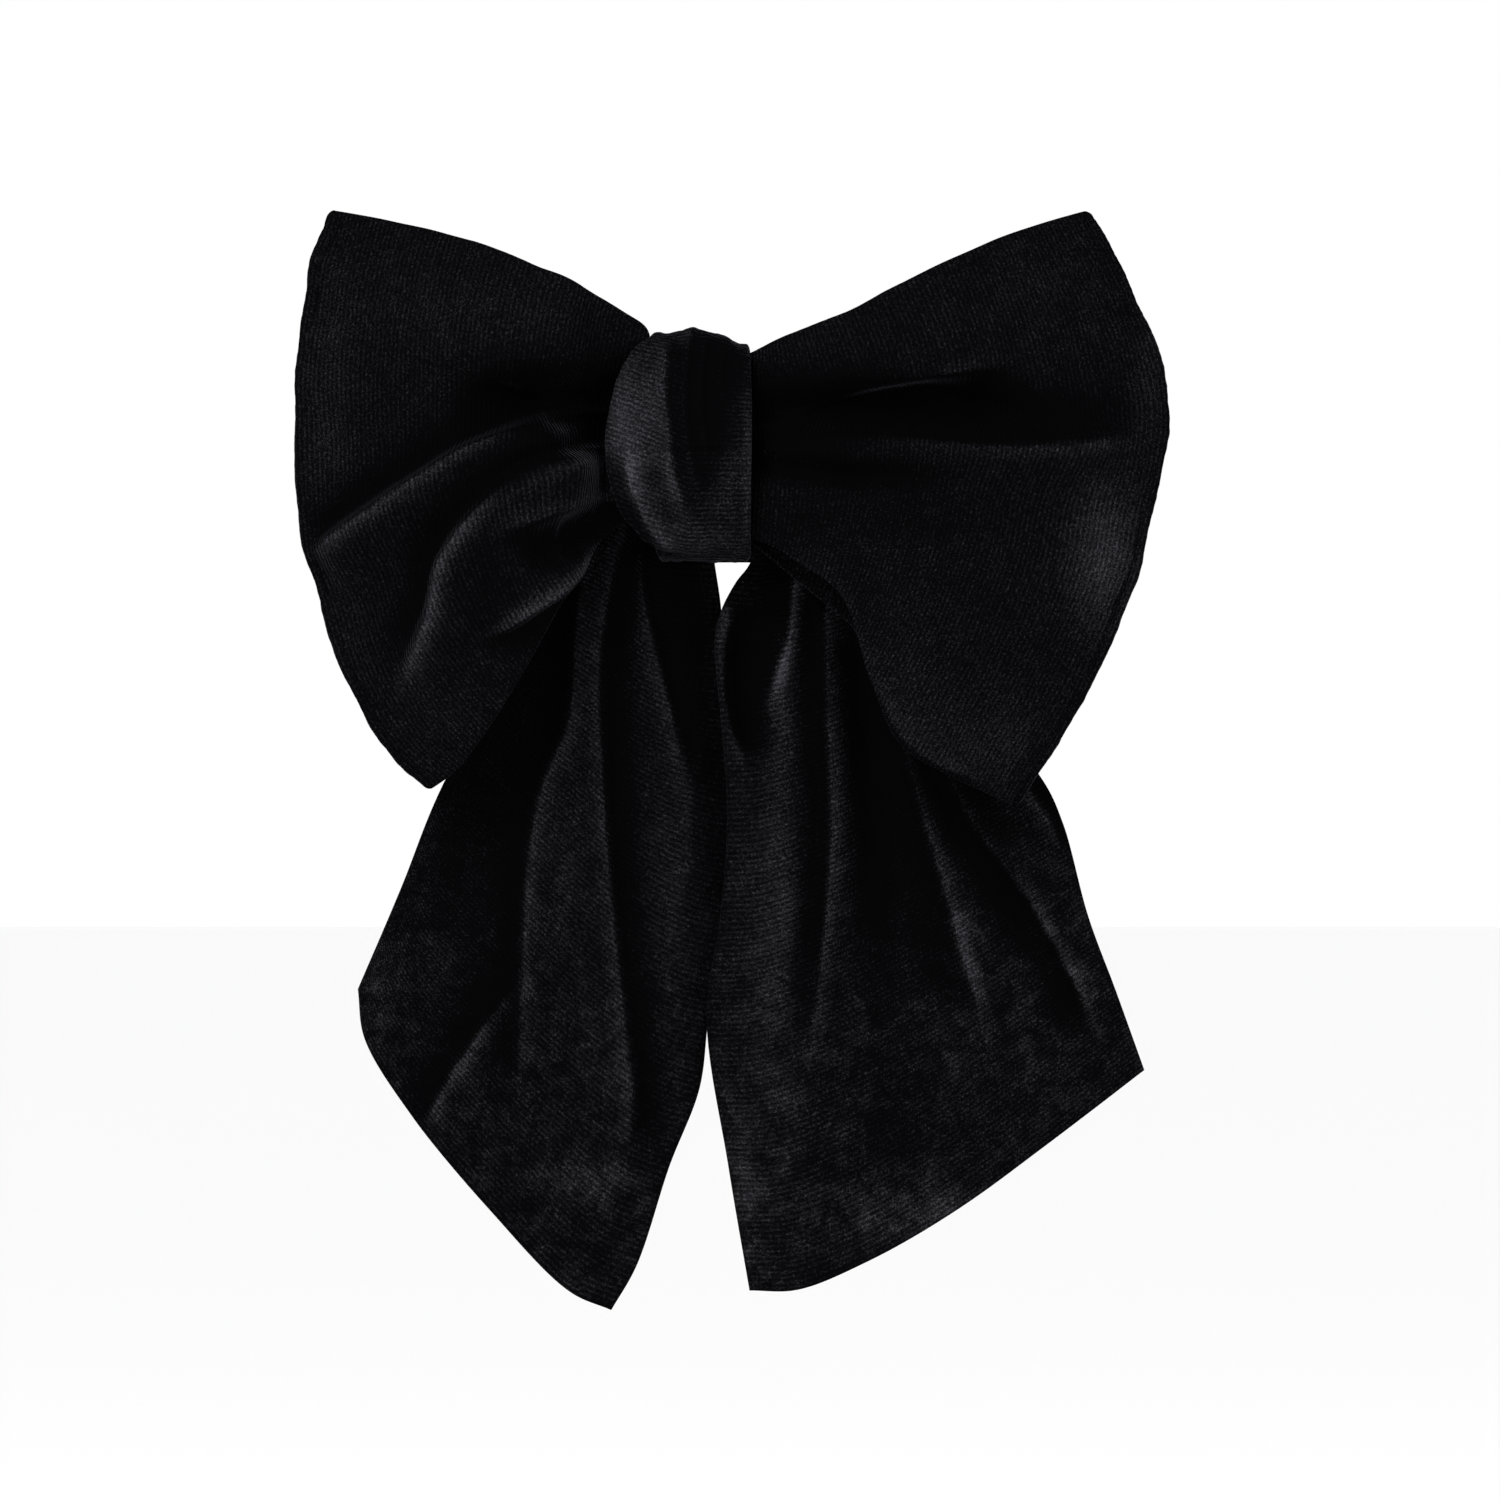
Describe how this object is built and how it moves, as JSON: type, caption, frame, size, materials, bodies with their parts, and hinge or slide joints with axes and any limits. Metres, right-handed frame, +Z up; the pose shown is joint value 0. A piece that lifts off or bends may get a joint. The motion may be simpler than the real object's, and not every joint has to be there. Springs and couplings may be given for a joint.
{
  "type": "hair bow",
  "caption": "Large velvet bow with two gathered loops, a wrapped knot and two slanted tails, on a spring barrette with a squeeze latch.",
  "frame": {"origin": "middle of the gap between the barrette's tension bar and its closed clasp arm, where the hair is held, level with the middle of the knot", "axes": "+Z up towards the tops of the loops, +X towards the right loop as seen from the front, the bow's front faces -Y and the head is on +Y"},
  "size_m": [0.1594, 0.0512, 0.2013],
  "materials": {
    "velvet": "black ribbed stretch velvet with a cool grey sheen",
    "thread": "black polyester thread",
    "clip_steel": "nickel-plated pressed steel",
    "spring_steel": "nickel-plated spring steel"
  },
  "bodies": {
    "bow": {"left_loop": "velvet", "right_loop": "velvet", "loop_waist": "velvet", "gathering_thread": "thread", "knot_band": "velvet", "knot_closing_thread": "thread", "tail_head": "velvet", "clip_strap": "velvet", "barrette_plate": "clip_steel", "hinge_pin": "clip_steel", "latch_web": "spring_steel", "latch_rivet": "clip_steel"},
    "left_tail": {"left_tail": "velvet"},
    "right_tail": {"right_tail": "velvet"},
    "clasp_arm": {"clasp_arm": "clip_steel"},
    "tension_bar": {"tension_bar": "spring_steel"},
    "latch_finger_upper": {"latch_finger_upper": "spring_steel"},
    "latch_finger_lower": {"latch_finger_lower": "spring_steel"}
  },
  "joints": [
    {"name": "left_tail_lift", "type": "hinge", "parent": "bow", "child": "left_tail", "pos_m": [0, -0.00985, -0.0241], "axis": [1, 0, 0], "range_deg": [0, 75]},
    {"name": "right_tail_lift", "type": "hinge", "parent": "bow", "child": "right_tail", "pos_m": [0, -0.00985, -0.0241], "axis": [1, 0, 0], "range_deg": [0, 75]},
    {"name": "clasp_swing", "type": "hinge", "parent": "bow", "child": "clasp_arm", "pos_m": [-0.0375, 0.00425, 0], "axis": [0, 0, 1], "range_deg": [0, 85]},
    {"name": "tension_bar_press", "type": "slide", "parent": "bow", "child": "tension_bar", "axis": [0, -1, 0], "range_m": [0, 0.001], "stiffness_N_per_m": 1500},
    {"name": "latch_squeeze", "type": "hinge", "parent": "bow", "child": "latch_finger_upper", "pos_m": [0.035, -0.00219, 0.0017], "axis": [-1, 0, 0], "range_deg": [0, 6], "stiffness_Nm_per_rad": 0.4},
    {"name": "latch_squeeze_lower", "type": "hinge", "parent": "bow", "child": "latch_finger_lower", "pos_m": [0.035, -0.00219, -0.0017], "axis": [-1, 0, 0], "range_deg": [-6, 0]}
  ],
  "couplings": [
    {"joint": "latch_squeeze_lower", "follows": "latch_squeeze", "ratio": -1}
  ]
}
